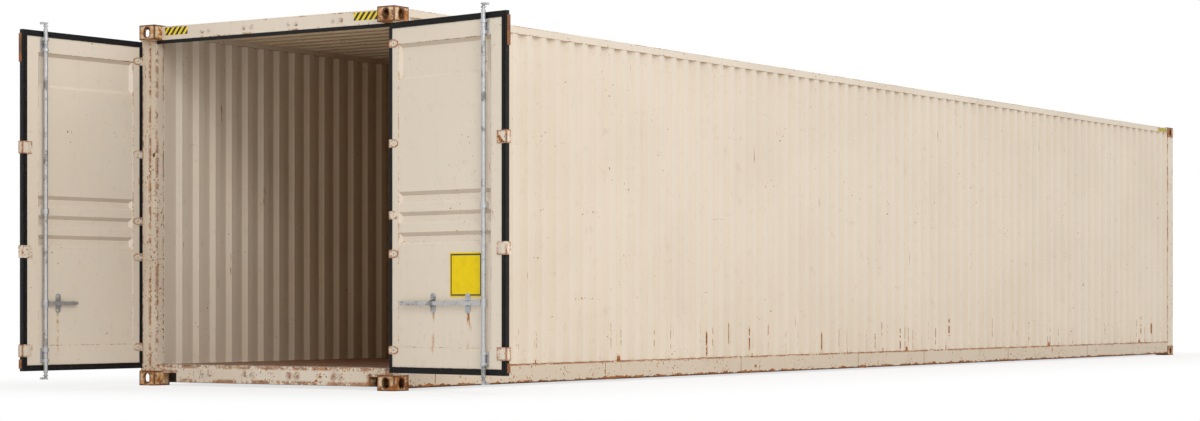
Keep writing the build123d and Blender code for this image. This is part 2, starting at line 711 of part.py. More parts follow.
def lock_rod():
    """The rod with a cam head beyond each end of the leaf, and its collars."""
    low, high = LEAF_BOTTOM - ROD_REACH, LEAF_TOP + ROD_REACH
    neck = (ROD_REACH - CAM_HEIGHT) / 2
    rod = post(ROD_X, ROD_Y, low + CAM_HEIGHT, high - CAM_HEIGHT, ROD_NECK_RADIUS)
    rod += post(ROD_X, ROD_Y, LEAF_BOTTOM - neck, LEAF_TOP + neck, ROD_RADIUS)
    rod += rod_end(low, low)
    rod += rod_end(high - CAM_HEIGHT, high - CAM_ARM_HEIGHT)
    for z in COLLAR_HEIGHTS:
        rod += post(ROD_X, ROD_Y, z - COLLAR_HEIGHT / 2, z + COLLAR_HEIGHT / 2, COLLAR_RADIUS)
    return rod


def lock_handle(length):
    """The flat handle on its hub, lying along the leaf towards the hinges."""
    hub = post(ROD_X, ROD_Y, HANDLE_Z - HUB_HEIGHT / 2, HANDLE_Z + HUB_HEIGHT / 2, HUB_RADIUS)
    tip = ROD_X + length
    half = HANDLE_TALL / 2
    bar = [
        (ROD_X, HANDLE_Z - half), (tip - half, HANDLE_Z - half), (tip, HANDLE_Z - half / 2),
        (tip, HANDLE_Z + half / 2), (tip - half, HANDLE_Z + half), (ROD_X, HANDLE_Z + half),
    ]
    hub += along(bar, ROD_Y - HANDLE_THICK / 2, ROD_Y + HANDLE_THICK / 2)
    return hub - post(ROD_X, ROD_Y, HANDLE_Z - HUB_HEIGHT, HANDLE_Z + HUB_HEIGHT, ROD_RADIUS)


def door_parts(handle_length, hasp_places):
    """One shut right-hand door by piece name."""
    return {
        "frame": leaf_frame(),
        "panel": leaf_panel(),
        "gasket": leaf_gasket(),
        "hinge_blades": hinge_blades(),
        "edge_clips": edge_clips(),
        "lock_fittings": lock_fittings(hasp_places),
        "lock_rod": lock_rod(),
        "lock_handle": lock_handle(handle_length),
    }


def swung(shape, angle):
    """Turns a right-hand door piece open about its hinge pin."""
    axis = Axis((PIN_X, PIN_Y, 0), (0, 0, 1))
    return shape.rotate(axis, angle)


def doors():
    """Both doors, opened as far as they stand."""
    parts = {}
    for name, shape in door_parts(RIGHT_HANDLE, RIGHT_HASPS).items():
        parts[f"right_{name}"] = swung(shape, RIGHT_DOOR_OPEN)
    for name, shape in door_parts(LEFT_HANDLE, LEFT_HASPS).items():
        parts[f"left_{name}"] = mirrored(swung(shape, LEFT_DOOR_OPEN))
    return parts


def pairs():
    """Pieces of the box that stand on both sides."""
    parts = {}
    makers = {
        "door_post": door_post, "end_post": end_post, "top_rail": top_rail,
        "bottom_rail": bottom_rail, "side_wall": side_wall,
    }
    for name, maker in makers.items():
        shape = maker()
        parts[f"{name}_right"] = shape
        parts[f"{name}_left"] = mirrored(shape)
    return parts


def container():
    """Every piece of the container by name."""
    parts = castings()
    parts.update(pairs())
    parts.update({
        "door_header": door_header(),
        "header_seal": header_seal(),
        "door_sill": door_sill(),
        "threshold_plate": threshold_plate(),
        "end_header": end_header(),
        "end_sill": end_sill(),
        "end_wall": end_wall(),
        "roof": roof(),
        "roof_end_plates": roof_end_plates(),
        "floor": floor(),
        "cross_members": cross_members(),
    })
    parts.update(doors())
    return parts


os.makedirs("parts", exist_ok=True)
for node, solid in container().items():
    export_step(solid, f"parts/{node}.step")
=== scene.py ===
"""Looks of a long high-cube freight container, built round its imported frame."""
import json
import math
import random

import bmesh
import bpy
from mathutils import Matrix, Vector


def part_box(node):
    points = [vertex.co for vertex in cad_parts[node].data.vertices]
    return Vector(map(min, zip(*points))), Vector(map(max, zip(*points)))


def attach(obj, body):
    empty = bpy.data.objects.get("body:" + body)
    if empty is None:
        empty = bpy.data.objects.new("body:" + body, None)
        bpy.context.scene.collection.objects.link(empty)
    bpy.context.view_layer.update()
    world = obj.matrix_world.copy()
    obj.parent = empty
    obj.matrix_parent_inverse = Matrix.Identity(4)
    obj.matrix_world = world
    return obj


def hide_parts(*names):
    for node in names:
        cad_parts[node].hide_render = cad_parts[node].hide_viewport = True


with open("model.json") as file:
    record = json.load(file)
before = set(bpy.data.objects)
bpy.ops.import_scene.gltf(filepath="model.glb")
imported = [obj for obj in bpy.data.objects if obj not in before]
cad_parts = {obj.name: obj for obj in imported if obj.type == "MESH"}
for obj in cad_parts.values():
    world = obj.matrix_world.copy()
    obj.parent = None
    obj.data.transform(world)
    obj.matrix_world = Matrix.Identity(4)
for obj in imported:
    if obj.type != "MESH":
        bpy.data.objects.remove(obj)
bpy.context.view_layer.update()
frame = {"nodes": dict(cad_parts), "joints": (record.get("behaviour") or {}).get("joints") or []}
NODES = frame["nodes"]
random.seed(53)

# The picture the camera is set for, in pixels
PICTURE_W, PICTURE_H = 1200, 421
FOCAL_PIXELS = 2557.0
HORIZON_ROW = 303.1
CAMERA_PLACE = (13.1038, -23.2548, 0.6615)
CAMERA_TURN = math.radians(33.281)
SENSOR = 36.0

# Paint, rust and other colours, linear
CREAM = (0.76, 0.665, 0.545)
CREAM_SHADE = (0.60, 0.495, 0.37)
RUST_BRIGHT = (0.60, 0.24, 0.045)
RUST_MID = (0.32, 0.105, 0.020)
RUST_DARK = (0.075, 0.026, 0.011)
RUST_HALO = (0.58, 0.27, 0.075)
GRIME = (0.20, 0.145, 0.095)
# Painted shade: the tint that darkens faces which look down
UNDERSIDE_PAINTED_SHADE = (0.78, 0.75, 0.71)
YELLOW = (0.86, 0.63, 0.0)
BLACK = (0.012, 0.012, 0.013)


def box_of(node):
    """Lowest and highest corners of a node."""
    low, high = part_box(node)
    return Vector(low), Vector(high)


# Places in the frame, in metres; a door's places are those of the right-hand door when shut
SIDE_X = box_of("casting_top_door_right")[1].x
DOOR_Y = box_of("casting_top_door_right")[0].y
CASTING_INNER_X = box_of("casting_top_door_right")[0].x
CASTING_BACK_Y = box_of("casting_top_door_right")[1].y
HEADER_FACE = box_of("header_seal")[0].y - 0.001
LEAF_OUTER = DOOR_Y + 0.012
LEAF_INNER = DOOR_Y + 0.044
PANEL_FACE = LEAF_INNER - 0.006
ROD_X = 0.228
HANDLE_Z = 0.66
HASPS = {"left": (0.15,), "right": (0.19, 0.56)}
KEEPERS = (-0.67, -0.228, 0.228, 0.67)
CLIP_SHARES = (0.06, 0.35, 0.655)
HINGE_SHARES = (0.065, 0.34, 0.45, 0.655, 0.94)
BLADE_END_X = 1.2595
RAIL_SEAMS = (-5.17, -2.89, -0.57, 0.91, 3.02, 5.28)


class Shader:
    """A material under construction, with short names for the nodes it uses."""

    def __init__(self, name, roughness=0.6, metallic=0.0):
        self.material = bpy.data.materials.new(name)
        self.material.use_nodes = True
        self.tree = self.material.node_tree
        self.bsdf = self.tree.nodes["Principled BSDF"]
        self.bsdf.inputs["Roughness"].default_value = roughness
        self.bsdf.inputs["Metallic"].default_value = metallic
        self.place = self.tree.nodes.new("ShaderNodeTexCoord").outputs["Object"]

    def node(self, kind, inputs=None, **settings):
        made = self.tree.nodes.new(kind)
        for key, value in settings.items():
            setattr(made, key, value)
        for key, value in (inputs or {}).items():
            self.put(made.inputs[key], value)
        return made

    def put(self, socket, value):
        if isinstance(value, bpy.types.NodeSocket):
            self.tree.links.new(value, socket)
        elif isinstance(value, tuple) and len(value) == 3 and socket.type == "RGBA":
            socket.default_value = (*value, 1.0)
        else:
            socket.default_value = value

    def scaled(self, x, y, z, turn=(0.0, 0.0, 0.0)):
        inputs = {0: self.place, "Scale": (x, y, z), "Rotation": turn}
        return self.node("ShaderNodeMapping", inputs).outputs[0]

    def noise(self, scale, detail=4.0, rough=0.55, vector=None, distortion=0.0):
        made = self.node("ShaderNodeTexNoise", {
            "Vector": vector or self.place, "Scale": scale, "Detail": detail,
            "Roughness": rough, "Distortion": distortion})
        return made.outputs["Fac"]

    def math(self, operation, a, b=0.0, clamp=False):
        return self.node("ShaderNodeMath", {0: a, 1: b}, operation=operation, use_clamp=clamp).outputs[0]

    def band(self, value, low, high, out_low=0.0, out_high=1.0):
        """Smooth step of value from low to high."""
        made = self.node("ShaderNodeMapRange", {
            "Value": value, "From Min": low, "From Max": high, "To Min": out_low, "To Max": out_high},
            interpolation_type="SMOOTHSTEP")
        return made.outputs[0]

    def mix(self, factor, a, b, blend="MIX"):
        made = self.node("ShaderNodeMix", data_type="RGBA", blend_type=blend)
        self.put(made.inputs["Factor"], factor)
        self.put(made.inputs["A"], a)
        self.put(made.inputs["B"], b)
        return made.outputs["Result"]

    def axes(self):
        split = self.node("ShaderNodeSeparateXYZ", {0: self.place})
        return split.outputs[0], split.outputs[1], split.outputs[2]

    def normal(self):
        """The face's direction along X, Y and Z."""
        flat = self.node("ShaderNodeNewGeometry").outputs["Normal"]
        split = self.node("ShaderNodeSeparateXYZ", {0: flat})
        return split.outputs[0], split.outputs[1], split.outputs[2]

    def edge(self, radius, samples=6):
        """1 on sharp edges, 0 on flats."""
        rounded = self.node("ShaderNodeBevel", {"Radius": radius}, samples=samples).outputs[0]
        flat = self.node("ShaderNodeNewGeometry").outputs["Normal"]
        dot = self.node("ShaderNodeVectorMath", {0: rounded, 1: flat}, operation="DOT_PRODUCT")
        return self.math("SUBTRACT", 1.0, dot.outputs["Value"], clamp=True)

    def bump(self, height, strength, distance):
        made = self.node("ShaderNodeBump", {"Height": height, "Strength": strength, "Distance": distance})
        self.put(self.bsdf.inputs["Normal"], made.outputs[0])

    def done(self, color, roughness=None, metallic=None):
        self.put(self.bsdf.inputs["Base Color"], color)
        if roughness is not None:
            self.put(self.bsdf.inputs["Roughness"], roughness)
        if metallic is not None:
            self.put(self.bsdf.inputs["Metallic"], metallic)
        return self.material


def rust_color(s, scale=40.0):
    """Rust from dark brown to bright orange."""
    tone = s.noise(scale, 6.0, 0.65)
    dark = s.mix(s.band(tone, 0.35, 0.52), RUST_DARK, RUST_MID)
    return s.mix(s.band(tone, 0.48, 0.72), dark, RUST_BRIGHT)


def hold_painted_shade(s, color, near, far, tint):
    """Painted shade: darkens faces that look into the hold, more so further from the doors."""
    sideways, _, upward = s.normal()
    x, y, _ = s.axes()
    wall = s.band(s.math("MULTIPLY", x, sideways), -0.25, 0.0, 1.0, 0.0)
    inner = s.math("MAXIMUM", wall, s.band(upward, -0.6, -0.3, 1.0, 0.0))
    reach = s.math("ADD", y, s.math("MULTIPLY", s.noise(0.7, 3.0), 1.2))
    depth = s.band(reach, near, far)
    return s.mix(s.math("MULTIPLY", inner, depth), color, tint, "MULTIPLY")


def paint(name, base=CREAM, edge_rust=0.0, edge_radius=0.012, specks=0.3, blotches=0.0,
          streaks=0.3, foot=None, shade=0.35, inside=None, runs_at=None, scuffs=(),
          hem=None, edge_span=(0.018, 0.05)):
    """Weathered cream paint, with painted shade on faces that look down.

    edge_rust, specks, blotches and streaks say how much rust lies on edges, as small dots, in
    patches and as runs. foot gives the height of a sheet's foot, above which thin runs stand,
    inside the depths and tint of the painted shade on faces that look into the hold, runs_at the
    door whose hasps have bled down the leaf, scuffs the rows of chipped dots on the outside, each as
    (y, z, half its length), hem the height of a lower edge that is ragged with rust and, at its very
    foot, painted near black as painted shadow, and edge_span how sharp an edge has to be.
    """
    s = Shader(name, roughness=0.52)
    z = s.axes()[2]
    broad = s.noise(0.9, 3.0, 0.5)
    fine = s.noise(14.0, 5.0, 0.6)
    runs = s.noise(1.0, 4.0, 0.6, s.scaled(16.0, 16.0, 0.9))
    color = s.mix(s.band(broad, 0.35, 0.7, 0.0, shade), base, CREAM_SHADE)
    color = s.mix(s.band(fine, 0.55, 0.8, 0.0, 0.16), color, GRIME)
    color = s.mix(s.band(runs, 0.55, 0.75, 0.0, 0.12 + 0.25 * streaks), color, CREAM_SHADE)
    upward = s.normal()[2]
    # Painted shade: faces that look down are darkened as if they lay in shade.
    color = s.mix(s.band(upward, -0.2, -0.4, 0.0, 1.0), color, UNDERSIDE_PAINTED_SHADE, "MULTIPLY")
    if inside:
        # Painted shade on the faces inside the hold, deeper further from the doors.
        color = hold_painted_shade(s, color, *inside)
    rust = rust_color(s)

    dots = s.noise(48.0, 2.0, 0.5)
    cluster = s.noise(3.2, 2.0, 0.5)
    mask = s.math("MULTIPLY", s.band(dots, 0.71 - 0.06 * specks, 0.73 - 0.06 * specks),
                  s.band(cluster, 0.58 - 0.10 * specks, 0.64 - 0.08 * specks))
    if blotches:
        patch = s.noise(7.0, 6.0, 0.62, distortion=0.3)
        mask = s.math("MAXIMUM", mask, s.band(patch, 0.72 - 0.16 * blotches, 0.75 - 0.15 * blotches))
    if edge_rust:
        ragged = s.math("ADD", s.math("MULTIPLY", s.noise(34.0, 5.0, 0.75), 0.6),
                        s.math("MULTIPLY", s.noise(5.0, 3.0, 0.6), 0.4))
        worn = s.math("MULTIPLY", s.band(s.edge(edge_radius, 8), *edge_span),
                      s.band(ragged, 0.60 - 0.12 * edge_rust, 0.64 - 0.11 * edge_rust))
        mask = s.math("MAXIMUM", mask, worn)
    if streaks:
        run = s.noise(1.0, 3.0, 0.6, s.scaled(30.0, 30.0, 1.6))
        source = s.noise(4.0, 2.0, 0.5)
        drawn = s.math("MULTIPLY", s.band(run, 0.69 - 0.05 * streaks, 0.75), s.band(source, 0.5, 0.62))
        mask = s.math("MAXIMUM", mask, s.math("MULTIPLY", drawn, 0.75))
    if foot is not None:
        mask = s.math("MAXIMUM", mask, foot_runs(s, foot))
    for scuff in scuffs:
        mask = s.math("MAXIMUM", mask, chipped_row(s, *scuff))
    if runs_at:
        mask = s.math("MAXIMUM", mask, hasp_runs(s, runs_at))
    if hem is not None:
        ragged = s.math("ADD", s.math("MULTIPLY", s.noise(9.0, 5.0, 0.7), 0.10), hem - 0.035)
        mask = s.math("MAXIMUM", mask, s.band(s.math("SUBTRACT", z, ragged), 0.0, 0.006, 1.0, 0.0))
    soft = s.band(mask, 0.0, 0.35, 0.0, 0.5)
    color = s.mix(soft, color, RUST_HALO)
    color = s.mix(s.band(mask, 0.2, 0.75), color, rust)
    if hem is not None:
        # Painted shadow: the sheet's lowest 7 to 10 mm is turned near black, as the shadow line under it.
        color = s.mix(s.band(z, hem + 0.007, hem + 0.010, 0.92, 0.0), color, BLACK)
    height = s.math("ADD", s.math("MULTIPLY", mask, -0.6), s.math("MULTIPLY", fine, 0.25))
    dents = s.noise(1.7, 2.0, 0.5)
    s.bump(s.math("ADD", height, s.math("MULTIPLY", dents, 3.0)), 0.35, 0.002)
    return s.done(color, s.band(mask, 0.0, 0.6, 0.5, 0.88))


def outside(s):
    """1 on faces that look away from the container's middle plane."""
    return s.band(s.math("MULTIPLY", s.axes()[0], s.normal()[0]), 0.0, 0.2)


def foot_runs(s, low):
    """Thin, broken upright runs and small scabs above the foot of a wall, on its outside."""
    z = s.axes()[2]
    run = s.noise(1.0, 1.0, 0.4, s.scaled(0.0, 17.0, 0.0))
    breaks = s.noise(1.0, 3.0, 0.7, s.scaled(3.0, 17.0, 16.0))
    start = s.noise(1.0, 1.0, 0.4, s.scaled(0.0, 6.0, 0.0))
    middle = s.band(start, 0.35, 0.65, low + 0.10, low + 0.22)
    off = s.math("ABSOLUTE", s.math("SUBTRACT", z, middle))
    near = s.band(off, 0.07, 0.13, 1.0, 0.0)
    crest = s.math("ABSOLUTE", s.math("SUBTRACT", run, 0.615))
    broken = s.math("MULTIPLY", near, s.band(breaks, 0.44, 0.52))
    thin = s.math("MULTIPLY", s.band(crest, 0.008, 0.020, 1.0, 0.0), broken)
    scab = s.math("MULTIPLY", s.band(run, 0.64, 0.67), s.band(z, low + 0.01, low + 0.07, 1.0, 0.0))
    scab = s.math("MULTIPLY", scab, s.band(breaks, 0.46, 0.56))
    seam = s.band(z, low + 0.002, low + 0.008, 1.0, 0.0)
    line = s.math("MULTIPLY", seam, s.band(breaks, 0.40, 0.50, 0.25, 1.0))
    return s.math("MULTIPLY", s.math("MAXIMUM", s.math("MAXIMUM", thin, scab), line), outside(s))


def chipped_row(s, middle, height, half):
    """A short level row of chips where something scraped along the wall."""
    _, y, z = s.axes()
    along = s.band(s.math("ABSOLUTE", s.math("SUBTRACT", y, middle)), half * 0.6, half, 1.0, 0.0)
    level = s.band(s.math("ABSOLUTE", s.math("SUBTRACT", z, height)), 0.004, 0.012, 1.0, 0.0)
    chips = s.band(s.noise(60.0, 2.0, 0.6), 0.58, 0.64)
    return s.math("MULTIPLY", s.math("MULTIPLY", s.math("MULTIPLY", along, level), chips), outside(s))


def hasp_runs(s, side):
    """Thin rust runs down the leaf below each hasp, on both faces."""
    pin, angle = hinge_of(side)
    flip = -1.0 if side == "left" else 1.0
    x, y, z = s.axes()
    east = s.math("SUBTRACT", s.math("MULTIPLY", x, flip), pin.x)
    north = s.math("SUBTRACT", y, pin.y)
    along = s.math("ADD", s.math("MULTIPLY", east, math.cos(angle)),
                   s.math("MULTIPLY", north, math.sin(angle)))
    across = s.math("ADD", along, pin.x)
    wander = s.math("MULTIPLY", s.math("SUBTRACT", s.noise(5.0, 3.0), 0.5), 0.02)
    across = s.math("ADD", across, wander)
    mask = None
    for place in (ROD_X + hasp for hasp in HASPS[side]):
        off = s.math("ABSOLUTE", s.math("SUBTRACT", across, place))
        run = s.math("MULTIPLY", s.band(off, 0.004, 0.02, 1.0, 0.0), s.band(z, 0.16, 0.60, 0.12, 0.75))
        run = s.math("MULTIPLY", run, s.band(z, 0.60, 0.61, 1.0, 0.0))
        mask = run if mask is None else s.math("MAXIMUM", mask, run)
    return s.math("MULTIPLY", mask, s.band(s.noise(9.0, 4.0), 0.35, 0.65))


def hinge_of(side):
    """A door's hinge pin, as if on the right, and how far that door stands open."""
    joint = next(item for item in frame["joints"] if item["name"] == f"{side}_door_hinge")
    pin = Vector(joint["pos_m"])
    pin.x = abs(pin.x)
    return pin, math.radians(-joint["range_deg"][0])


def leaf_place(side):
    """Takes the shut right-hand door's coordinates to where this door stands."""
    pin, angle = hinge_of(side)
    place = Matrix.Translation(pin) @ Matrix.Rotation(angle, 4, "Z") @ Matrix.Translation(-pin)
    if side == "left":
        place = Matrix.Scale(-1.0, 4, (1, 0, 0)) @ place
    return place


def casting_finish():
    """Cream left in patches on cast steel that has rusted from its edges."""
    s = Shader("casting_rust", roughness=0.8)
    rust = rust_color(s, 30.0)
    rust = s.mix(s.band(s.noise(11.0, 4.0, 0.6), 0.45, 0.62, 0.0, 0.6), rust, (0.42, 0.15, 0.03))
    patch = s.noise(9.0, 6.0, 0.66, distortion=0.4)
    edges = s.band(s.edge(0.035, 8), 0.002, 0.06)
    ragged = s.math("MULTIPLY", edges, s.band(s.noise(24.0, 5.0, 0.7), 0.26, 0.42))
    bare = s.math("MAXIMUM", ragged, s.band(patch, 0.50, 0.56))
    cream = s.mix(s.band(s.noise(20.0, 4.0), 0.42, 0.60), (0.76, 0.60, 0.40), (0.60, 0.32, 0.11))
    color = s.mix(bare, cream, rust)
    deep = s.math("MULTIPLY", s.band(s.edge(0.026, 6), 0.01, 0.09),
                  s.band(s.noise(17.0, 5.0, 0.7), 0.38, 0.48))
    color = s.mix(deep, color, RUST_DARK)
    color = s.mix(cavity_mask(s), color, (0.02, 0.012, 0.008))
    s.bump(s.math("ADD", bare, s.noise(90.0, 6.0, 0.7)), 0.5, 0.003)
    return s.done(color, s.band(bare, 0.0, 1.0, 0.6, 0.9))


def cavity_mask(s):
    """1 well inside a casting's hollow, which is coloured near black."""
    x, y, z = s.axes()
    middle_x = (SIDE_X + CASTING_INNER_X) / 2
    middle_y = -(DOOR_Y + CASTING_BACK_Y) / 2
    half_x = (SIDE_X - CASTING_INNER_X) / 2 - 0.012
    half_y = (CASTING_BACK_Y - DOOR_Y) / 2 - 0.012
    off_x = s.math("ABSOLUTE", s.math("SUBTRACT", s.math("ABSOLUTE", x), middle_x))
    off_y = s.math("ABSOLUTE", s.math("SUBTRACT", s.math("ABSOLUTE", y), middle_y))
    low, high = box_of("casting_bottom_door_right")[1].z, box_of("casting_top_door_right")[1].z
    off_z = s.math("SUBTRACT", high / 2, s.math("ABSOLUTE", s.math("SUBTRACT", z, high / 2)))
    inner = s.math("MULTIPLY", s.band(off_x, half_x - 0.012, half_x, 1.0, 0.0),
                   s.band(off_y, half_y - 0.012, half_y, 1.0, 0.0))
    floor = s.math("MULTIPLY", s.band(off_z, 0.012, 0.02), s.band(off_z, low - 0.02, low - 0.012, 1.0, 0.0))
    return s.math("MULTIPLY", inner, floor)


def rubber_finish():
    s = Shader("rubber_ribbed", roughness=0.7)
    s.bsdf.inputs["Specular IOR Level"].default_value = 0.2
    dust = s.noise(24.0, 5.0, 0.6)
    color = s.mix(s.band(dust, 0.5, 0.85, 0.0, 0.4), (0.009, 0.009, 0.010), (0.07, 0.06, 0.05))
    spots = s.band(s.noise(50.0, 2.0), 0.73, 0.77)
    s.bump(dust, 0.25, 0.001)
    return s.done(s.mix(s.math("MULTIPLY", spots, 0.6), color, RUST_MID), s.band(dust, 0.3, 0.8, 0.5, 0.75))


def zinc_finish():
    """Dull galvanised steel with spangle, dirt and a little rust."""
    s = Shader("zinc_dull", roughness=0.45, metallic=0.75)
    spangle = s.node("ShaderNodeTexVoronoi", {"Vector": s.place, "Scale": 95.0}).outputs["Color"]
    gray = s.node("ShaderNodeRGBToBW", {0: spangle}).outputs[0]
    color = s.mix(gray, (0.46, 0.465, 0.475), (0.58, 0.585, 0.595))
    dirt = s.noise(7.0, 6.0, 0.7)
    color = s.mix(s.band(dirt, 0.52, 0.66, 0.0, 0.75), color, (0.13, 0.12, 0.11))
    worn = s.math("MULTIPLY", s.band(s.edge(0.006, 4), 0.03, 0.3), s.band(s.noise(30.0), 0.5, 0.62))
    rusty = s.math("MAXIMUM", s.math("MULTIPLY", worn, 0.5), s.band(s.noise(34.0, 3.0), 0.71, 0.75))
    color = s.mix(s.math("MULTIPLY", rusty, 0.55), color, RUST_MID)
    s.bump(s.math("ADD", gray, dirt), 0.12, 0.0006)
    return s.done(color, s.band(dirt, 0.4, 0.7, 0.36, 0.66))


def board_finish():
    """Worn plywood: grain along the boards, scuffs across, dark stains."""
    s = Shader("plywood_worn", roughness=0.62)
    grain = s.noise(1.0, 6.0, 0.7, s.scaled(1.6, 34.0, 8.0))
    scuff = s.noise(1.0, 5.0, 0.75, s.scaled(2.3, 13.0, 4.0), distortion=1.2)
    stain = s.noise(2.1, 5.0, 0.6, distortion=0.8)
    tone = s.noise(0.9, 2.0, 0.5)
    color = s.mix(s.band(grain, 0.3, 0.7), (0.20, 0.092, 0.046), (0.40, 0.205, 0.115))
    color = s.mix(s.band(tone, 0.35, 0.65, 0.0, 0.5), color, (0.30, 0.14, 0.078))
    color = s.mix(s.band(scuff, 0.55, 0.72, 0.0, 0.65), color, (0.085, 0.042, 0.026))
    color = s.mix(s.band(stain, 0.56, 0.75, 0.0, 0.7), color, (0.07, 0.037, 0.024))
    light = s.noise(1.0, 6.0, 0.8, s.scaled(7.0, 42.0, 9.0))
    color = s.mix(s.band(light, 0.68, 0.78, 0.0, 0.6), color, (0.55, 0.38, 0.26))
    s.bump(s.math("ADD", grain, s.math("MULTIPLY", scuff, -0.8)), 0.4, 0.002)
    return s.done(color, s.band(stain, 0.4, 0.7, 0.5, 0.75))


def worn_steel(name, color_a, color_b, metallic=0.3):
    s = Shader(name, roughness=0.55, metallic=metallic)
    tone = s.noise(9.0, 6.0, 0.65)
    color = s.mix(s.band(tone, 0.35, 0.65), color_a, color_b)
    rusty = s.band(s.noise(16.0, 5.0, 0.7), 0.55, 0.66)
    s.bump(tone, 0.3, 0.0015)
    color = s.mix(s.math("MULTIPLY", rusty, 0.7), color, rust_color(s))
    return s.done(color, s.band(tone, 0.3, 0.7, 0.45, 0.75))


def hazard_finish(name, slope):
    """Slanted black and yellow stripes, a little scuffed."""
    s = Shader(name, roughness=0.45)
    x, y, z = s.axes()
    across = s.math("ADD", s.math("ADD", x, y), s.math("MULTIPLY", z, slope))
    saw = s.math("FRACT", s.math("MULTIPLY", across, 1.0 / 0.052))
    stripe = s.math("GREATER_THAN", saw, 0.5)
    color = s.mix(stripe, BLACK, YELLOW)
    worn = s.band(s.noise(38.0, 5.0, 0.7), 0.62, 0.7)
    color = s.mix(s.math("MULTIPLY", worn, 0.55), color, CREAM_SHADE)
    s.bump(worn, 0.2, 0.0008)
    return s.done(color)


def plate_finish():
    s = Shader("plate_yellow", roughness=0.6)
    s.bsdf.inputs["Specular IOR Level"].default_value = 0.25
    tone = s.noise(12.0, 5.0, 0.6)
    color = s.mix(s.band(tone, 0.4, 0.75, 0.0, 0.3), YELLOW, (0.62, 0.38, 0.01))
    s.bump(tone, 0.1, 0.0005)
    return s.done(color)


def plain_dark(name, color, roughness):
    s = Shader(name, roughness=roughness)
    tone = s.noise(20.0, 5.0, 0.6)
    s.bump(tone, 0.2, 0.001)
    return s.done(s.mix(s.band(tone, 0.4, 0.8, 0.0, 0.4), color, GRIME))


WALL_FOOT = box_of("side_wall_right")[0].z
# Painted shade inside the hold and on the ceiling: where it starts, where it is full, and its tint
HOLD_PAINTED_SHADE = (DOOR_Y + 1.0, DOOR_Y + 3.8, (0.84, 0.69, 0.51))
CEILING_PAINTED_SHADE = (DOOR_Y - 2.0, DOOR_Y + 1.0, (1.0, 0.90, 0.76))
SCUFFS = ((-5.35, 1.43, 0.16), (-3.29, 1.42, 0.13), (-6.16, 1.03, 0.09), (-4.79, 1.07, 0.11),
          (-5.41, 0.70, 0.20), (-4.67, 0.71, 0.07), (0.29, 0.82, 0.10))
RAIL_CREAM = (0.64, 0.54, 0.42)
# Painted light: the roof's cream is lighter than the walls' so that the ceiling seen through the doors looks
# lit.
ROOF_CREAM_PAINTED_LIGHT = (0.84, 0.75, 0.62)
RAIL_FOOT = box_of("bottom_rail_right")[0].z
MATERIALS = {
    "casting": casting_finish(),
    "rubber": rubber_finish(),
    "zinc": zinc_finish(),
    "boards": board_finish(),
    "threshold": worn_steel("threshold_steel", (0.16, 0.155, 0.15), (0.40, 0.39, 0.375)),
    "under": worn_steel("underframe_dark", (0.06, 0.05, 0.042), (0.16, 0.13, 0.10), 0.1),
    "wall": paint("paint_wall", specks=0.15, streaks=0.05, foot=WALL_FOOT,
                  shade=0.20, inside=HOLD_PAINTED_SHADE, scuffs=SCUFFS),
    "end": paint("paint_end_wall", specks=0.4, streaks=0.3, foot=WALL_FOOT, shade=0.3),
    "roof": paint("paint_roof", base=ROOF_CREAM_PAINTED_LIGHT, specks=0.6, blotches=0.25, streaks=0.0, shade=0.4,
                  inside=CEILING_PAINTED_SHADE),
    "right_leaf": paint("paint_right_leaf", specks=0.1, streaks=0.05, edge_rust=0.8, edge_radius=0.008,
                        shade=0.12, runs_at="right", edge_span=(0.05, 0.10)),
    "left_leaf": paint("paint_left_leaf", specks=0.1, streaks=0.05, edge_rust=0.8, edge_radius=0.008,
                       shade=0.12, runs_at="left", edge_span=(0.05, 0.10)),
    "header": paint("paint_header", specks=0.7, edge_rust=0.55, edge_radius=0.016, streaks=0.3, shade=0.2),
    "frame": paint("paint_frame", specks=1.3, edge_rust=0.95, edge_radius=0.030, blotches=0.25,
                   streaks=0.5, shade=0.3),
    "sill": paint("paint_sill", specks=1.3, edge_rust=1.15, edge_radius=0.040, blotches=0.4, streaks=1.4,
                  shade=0.35),
    "clip": paint("paint_clip", specks=1.0, edge_rust=1.3, edge_radius=0.022, blotches=0.5, streaks=0.2,
                  shade=0.3),
    "top_rail": paint("paint_top_rail", specks=0.7, edge_rust=0.8, edge_radius=0.008, blotches=0.1,
                      streaks=0.2, shade=0.25, inside=HOLD_PAINTED_SHADE),
    "rail": paint("paint_rail", base=RAIL_CREAM, specks=1.2, edge_rust=1.2, edge_radius=0.016,
                  blotches=0.45, streaks=1.1, shade=0.45, hem=RAIL_FOOT),
    "hazard": hazard_finish("hazard_stripes", -0.8),
    "plate": plate_finish(),
    "black": plain_dark("black_border", BLACK, 0.5),
    "scar": worn_steel("rusted_steel", (0.10, 0.035, 0.013), (0.36, 0.125, 0.03), 0.0),
    "bead": paint("paint_bead", base=CREAM_SHADE, specks=1.0, blotches=0.7, streaks=0.0, shade=0.6),
}


def finish_for(node):
    """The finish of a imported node, by its name."""
    if node.startswith("casting"):
        return "casting"
    if "gasket" in node or node == "header_seal":
        return "rubber"
    if "lock" in node:
        return "zinc"
    rules = {
        "floor": "boards", "threshold_plate": "threshold", "cross_members": "under",
        "end_wall": "end", "roof": "roof", "roof_end_plates": "roof", "door_sill": "sill",
        "end_sill": "sill", "door_header": "header", "end_header": "header",
    }
    if node in rules:
        return rules[node]
    if node.startswith("side_wall"):
        return "wall"
    if node.endswith("_frame") or node.endswith("_panel"):
        return "right_leaf" if node.startswith("right") else "left_leaf"
    if node.endswith("edge_clips") or node.endswith("hinge_blades"):
        return "clip"
    if node.startswith("bottom_rail"):
        return "rail"
    if node.startswith("top_rail"):
        return "top_rail"
    return "frame"


